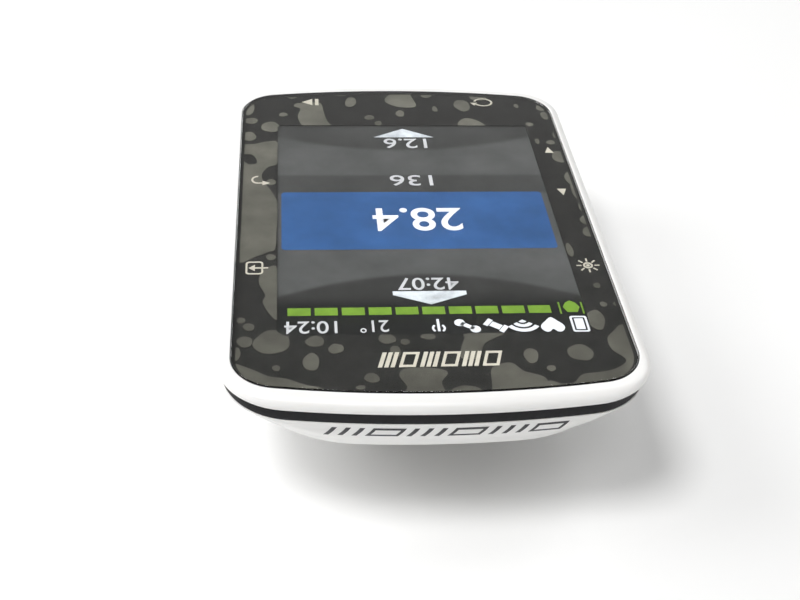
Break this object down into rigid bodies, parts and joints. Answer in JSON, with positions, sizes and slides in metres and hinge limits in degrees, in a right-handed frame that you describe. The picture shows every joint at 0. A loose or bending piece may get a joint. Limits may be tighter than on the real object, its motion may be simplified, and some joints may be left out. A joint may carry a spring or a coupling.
{
  "type": "cycling computer",
  "caption": "Handlebar cycling computer with a white shell, glass-fronted display, sealed side and end keys, a rubber connector cover and a quarter-turn mount on its back.",
  "frame": {"origin": "middle of the bounding box on the surface that the back of the mount rests on", "axes": "+Z out of the screen, +Y towards the top of the screen, +X to the right of the screen as it is read"},
  "size_m": [0.049, 0.073, 0.021],
  "materials": {
    "white_plastic": "satin",
    "black_rubber": "matte",
    "black_plastic": "satin",
    "lens_glass": "gloss",
    "lens_print": "matte",
    "display": "gloss",
    "diffuser": "satin",
    "bright_steel": "satin",
    "dark_screw": "satin",
    "chassis_plastic": "matte",
    "circuit_board": "satin",
    "chip_black": "matte",
    "copper_flex": "satin",
    "ceramic": "matte",
    "connector_ivory": "satin",
    "battery_foil": "satin",
    "lead_red": "satin",
    "foam": "matte",
    "membrane": "matte"
  },
  "bodies": {
    "casing": {"front_lens": "lens_glass", "lens_mask": "lens_print", "front_bezel": "white_plastic", "seal_band": "black_rubber", "rear_housing": "white_plastic", "mount_puck": "black_plastic", "mount_screws": "bright_steel", "case_screws": "dark_screw", "usb_cover_tether": "black_rubber", "usb_shell": "bright_steel", "usb_tongue": "chip_black", "usb_gasket": "foam", "usb_board": "circuit_board", "board_connector": "connector_ivory", "display_polarizer": "display", "display_glass": "display", "backlight": "diffuser", "display_frame": "bright_steel", "display_flex": "copper_flex", "flex_connector": "chip_black", "chassis": "chassis_plastic", "main_board": "circuit_board", "gps_antenna": "ceramic", "shield_cans": "bright_steel", "board_chips": "chip_black", "radio_antenna": "ceramic", "pressure_sensor": "bright_steel", "vent_membrane": "membrane", "buzzer": "chip_black", "battery": "battery_foil", "battery_leads": "lead_red", "battery_connector": "connector_ivory", "battery_pad": "foam", "board_foam": "foam", "key_switches": "bright_steel"},
    "usb_flap": {"usb_cover": "black_rubber"},
    "power_button": {"power_key": "black_rubber", "power_plunger": "chip_black"},
    "up_button": {"up_key": "black_rubber", "up_plunger": "chip_black"},
    "down_button": {"down_key": "black_rubber", "down_plunger": "chip_black"},
    "enter_button": {"enter_key": "black_rubber", "enter_plunger": "chip_black"},
    "back_button": {"back_key": "black_rubber", "back_plunger": "chip_black"},
    "lap_button": {"lap_key": "black_rubber", "lap_plunger": "chip_black"},
    "start_button": {"start_key": "black_rubber", "start_plunger": "chip_black"}
  },
  "joints": [
    {"name": "usb_cover_hinge", "type": "hinge", "parent": "casing", "child": "usb_flap", "pos_m": [0, -0.02685, 0.00962], "axis": [1, 0, 0], "range_deg": [0, 110]},
    {"name": "power_press", "type": "slide", "parent": "casing", "child": "power_button", "axis": [1, 0, 0], "range_m": [0, 0.0004], "stiffness_N_per_m": 4000, "springref_m": -0.0003},
    {"name": "up_press", "type": "slide", "parent": "casing", "child": "up_button", "axis": [1, 0, 0], "range_m": [0, 0.0004], "stiffness_N_per_m": 4000, "springref_m": -0.0003},
    {"name": "down_press", "type": "slide", "parent": "casing", "child": "down_button", "axis": [1, 0, 0], "range_m": [0, 0.0004], "stiffness_N_per_m": 4000, "springref_m": -0.0003},
    {"name": "enter_press", "type": "slide", "parent": "casing", "child": "enter_button", "axis": [-1, 0, 0], "range_m": [0, 0.0004], "stiffness_N_per_m": 4000, "springref_m": -0.0003},
    {"name": "back_press", "type": "slide", "parent": "casing", "child": "back_button", "axis": [-1, 0, 0], "range_m": [0, 0.0004], "stiffness_N_per_m": 4000, "springref_m": -0.0003},
    {"name": "lap_press", "type": "slide", "parent": "casing", "child": "lap_button", "axis": [0.1002, 0.995, 0], "range_m": [0, 0.0004], "stiffness_N_per_m": 4000, "springref_m": -0.0003},
    {"name": "start_press", "type": "slide", "parent": "casing", "child": "start_button", "axis": [-0.1002, 0.995, 0], "range_m": [0, 0.0004], "stiffness_N_per_m": 4000, "springref_m": -0.0003}
  ]
}
